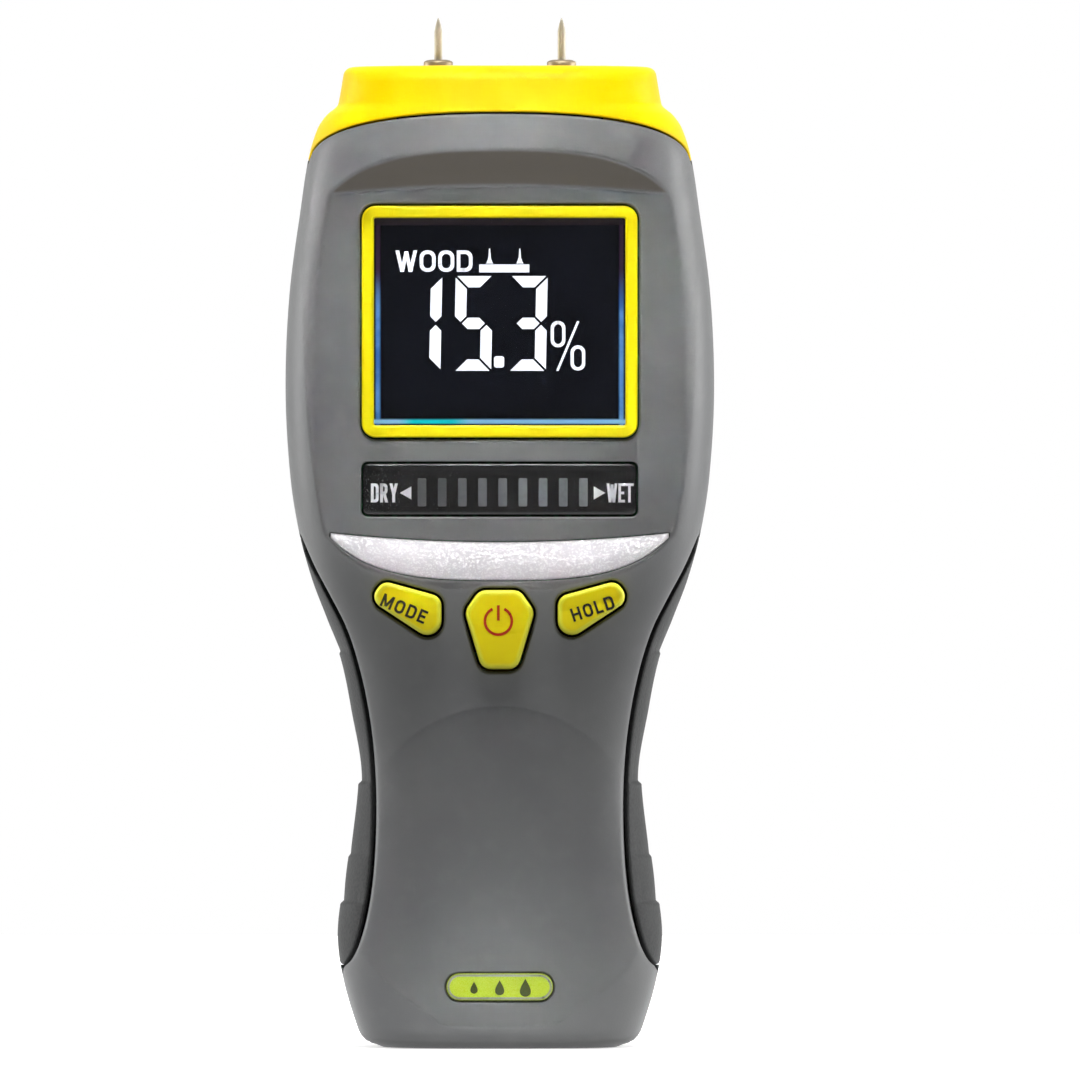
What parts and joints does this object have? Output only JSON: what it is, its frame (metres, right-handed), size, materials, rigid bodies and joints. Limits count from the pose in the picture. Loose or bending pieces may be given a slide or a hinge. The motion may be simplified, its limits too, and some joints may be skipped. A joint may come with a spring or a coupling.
{
  "type": "pin moisture meter",
  "caption": "Hand-held pin moisture meter: grey housing, yellow pin head, soft side grips, framed display with bar graph, press keys and a hinged battery door",
  "frame": {"origin": "on the flat base, under the pins' plane and midway between the sides", "axes": "+Z runs from the base to the pin tips, -Y is the display side, +X is the viewer's right when the display faces the viewer"},
  "size_m": [0.0704, 0.0392, 0.1693],
  "materials": {
    "grey_plastic": "fine moulded grain",
    "yellow_plastic": "satin, smooth",
    "key_plastic": "satin, smooth",
    "soft_rubber": "matt, finely textured",
    "silver_paint": "sparkling silver paint",
    "badge_paint": "printed, glossy",
    "plate_film": "printed film",
    "clear_lens": "clear, polished",
    "display_glass": "dark, polished",
    "white_plastic": "smooth",
    "black_plastic": "satin",
    "led_lens": "cloudy",
    "board": "solder resist",
    "steel": "turned",
    "nickel": "plated",
    "brass": "turned",
    "red_wire": "insulation",
    "black_wire": "insulation",
    "foam": "closed-cell foam",
    "battery_jacket": "painted"
  },
  "bodies": {
    "housing": {"front_shell": "grey_plastic", "rear_shell": "grey_plastic", "head_cap": "yellow_plastic", "left_grip": "soft_rubber", "right_grip": "soft_rubber", "display_bezel": "yellow_plastic", "display_lens": "clear_lens", "display_glass": "display_glass", "display_backlight": "white_plastic", "display_connector": "black_plastic", "bar_window": "black_plastic", "bar_baffle": "black_plastic", "bar_led_1": "led_lens", "bar_led_2": "led_lens", "bar_led_3": "led_lens", "bar_led_4": "led_lens", "bar_led_5": "led_lens", "bar_led_6": "led_lens", "bar_led_7": "led_lens", "bar_led_8": "led_lens", "bar_led_9": "led_lens", "silver_trim": "silver_paint", "badge": "badge_paint", "rating_plate": "plate_film", "mode_switch": "black_plastic", "power_switch": "black_plastic", "hold_switch": "black_plastic", "keypad_gasket": "soft_rubber", "main_board": "board", "board_screw_1": "steel", "board_screw_2": "steel", "controller_chip": "black_plastic", "buzzer": "black_plastic", "left_pin": "steel", "left_collar": "nickel", "left_socket": "brass", "left_pin_lead": "red_wire", "right_pin": "steel", "right_collar": "nickel", "right_socket": "brass", "right_pin_lead": "black_wire", "pin_block": "black_plastic", "battery": "battery_jacket", "battery_small_terminal": "nickel", "battery_large_terminal": "nickel", "battery_snap": "black_plastic", "battery_lead_red": "red_wire", "battery_lead_black": "black_wire", "case_screw_1": "steel", "case_screw_2": "steel", "case_screw_3": "steel", "case_screw_4": "steel"},
    "mode_button": {"mode_key": "key_plastic", "mode_plunger": "white_plastic"},
    "power_button": {"power_key": "key_plastic", "power_plunger": "white_plastic"},
    "hold_button": {"hold_key": "key_plastic", "hold_plunger": "white_plastic"},
    "door": {"battery_door": "grey_plastic", "door_foam": "foam"}
  },
  "joints": [
    {"name": "mode_press", "type": "slide", "parent": "housing", "child": "mode_button", "axis": [0, 1, 0], "range_m": [0, 0.0006], "stiffness_N_per_m": 800},
    {"name": "power_press", "type": "slide", "parent": "housing", "child": "power_button", "axis": [0, 1, 0], "range_m": [0, 0.0006], "stiffness_N_per_m": 800},
    {"name": "hold_press", "type": "slide", "parent": "housing", "child": "hold_button", "axis": [0, 1, 0], "range_m": [0, 0.0006], "stiffness_N_per_m": 800},
    {"name": "door_swing", "type": "hinge", "parent": "housing", "child": "door", "pos_m": [0, 0.0155, 0.012], "axis": [-1, 0, 0], "range_deg": [0, 80]}
  ]
}
